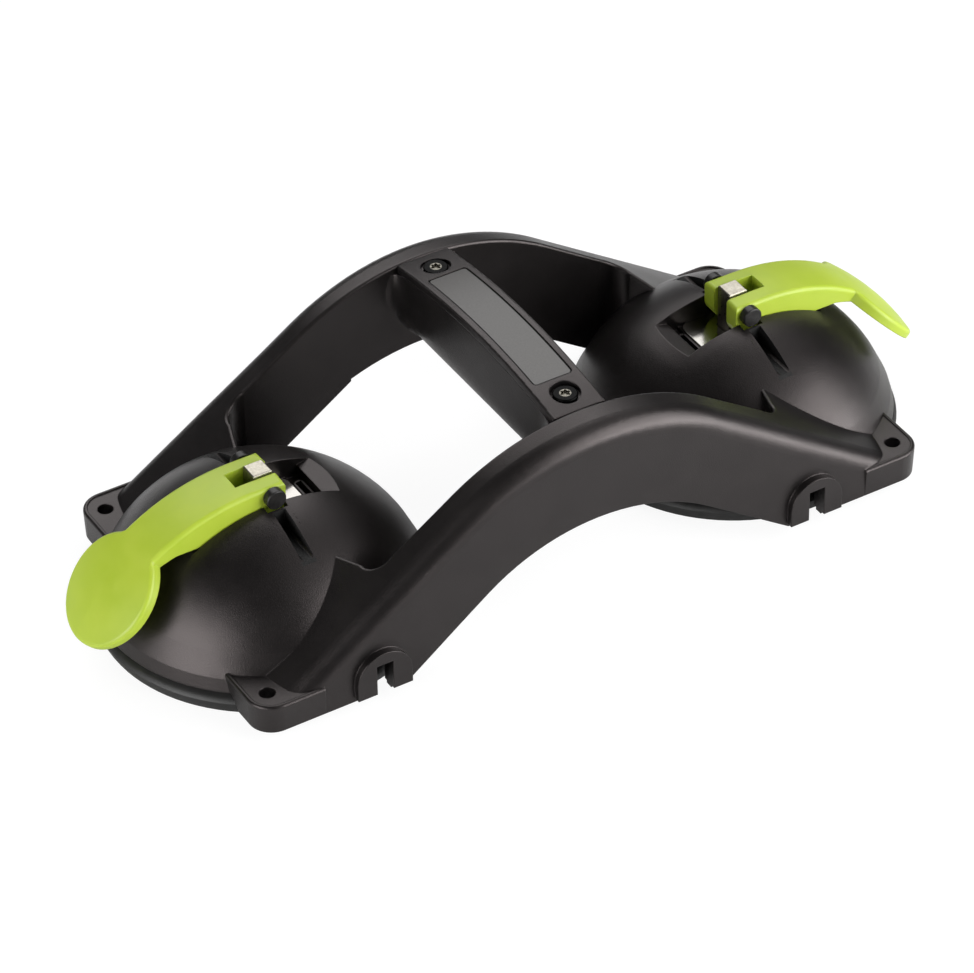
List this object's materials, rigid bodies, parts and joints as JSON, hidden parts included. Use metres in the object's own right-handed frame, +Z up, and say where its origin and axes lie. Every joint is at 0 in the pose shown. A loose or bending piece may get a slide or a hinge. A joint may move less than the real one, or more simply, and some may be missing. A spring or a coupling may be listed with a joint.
{
  "type": "suction lifter",
  "caption": "Hand-held tile and slab lifter: rubber vacuum cups under domed feet, joined by an arched frame with a centre grip, each cup drawn up by a green cam lever.",
  "frame": {"origin": "centre of the footprint, on the surface that the cup rims rest on", "axes": "+X along the length from the left cup to the right cup, +Y across, along the grip, +Z up"},
  "size_m": [0.35, 0.1422, 0.0867],
  "materials": {
    "housing": "fine spark-textured glass-filled nylon, satin",
    "label": "smooth bare label inlay, satin",
    "screw": "black zinc, satin",
    "insert": "turned",
    "cup_rubber": "moulded, semi-matte",
    "plate_steel": "zinc plated",
    "post_steel": "bright zinc plated",
    "bright_steel": "polished strip",
    "cap": "blackened, satin",
    "lever": "fine spark-textured glass-filled nylon, satin"
  },
  "bodies": {
    "root": {"frame": "housing", "handle_cover": "housing", "label_plate": "label", "cover_screws": "screw", "cover_inserts": "insert", "left_suction_cup": "cup_rubber", "left_wear_plate": "bright_steel", "right_suction_cup": "cup_rubber", "right_wear_plate": "bright_steel"},
    "left_lift": {"left_cup_plate": "plate_steel", "left_lift_post": "post_steel", "left_post_nut": "plate_steel", "left_pivot_pin": "post_steel", "left_pin_caps": "cap"},
    "left_lever": {"left_lever": "lever"},
    "right_lift": {"right_cup_plate": "plate_steel", "right_lift_post": "post_steel", "right_post_nut": "plate_steel", "right_pivot_pin": "post_steel", "right_pin_caps": "cap"},
    "right_lever": {"right_lever": "lever"}
  },
  "joints": [
    {"name": "left_cup_lift", "type": "slide", "parent": "root", "child": "left_lift", "axis": [0, 0, 1], "range_m": [-0.007, 0], "deforming": ["left_suction_cup"]},
    {"name": "left_lever_turn", "type": "hinge", "parent": "left_lift", "child": "left_lever", "pos_m": [-0.1, 0, 0.0563], "axis": [0, 1, 0], "range_deg": [0, 90]},
    {"name": "right_cup_lift", "type": "slide", "parent": "root", "child": "right_lift", "axis": [0, 0, 1], "range_m": [-0.007, 0], "deforming": ["right_suction_cup"]},
    {"name": "right_lever_turn", "type": "hinge", "parent": "right_lift", "child": "right_lever", "pos_m": [0.1, 0, 0.0563], "axis": [0, -1, 0], "range_deg": [0, 90]}
  ],
  "couplings": [
    {"joint": "left_lever_turn", "follows": "left_cup_lift", "rad_per_m": -224.4},
    {"joint": "right_lever_turn", "follows": "right_cup_lift", "rad_per_m": -224.4}
  ]
}
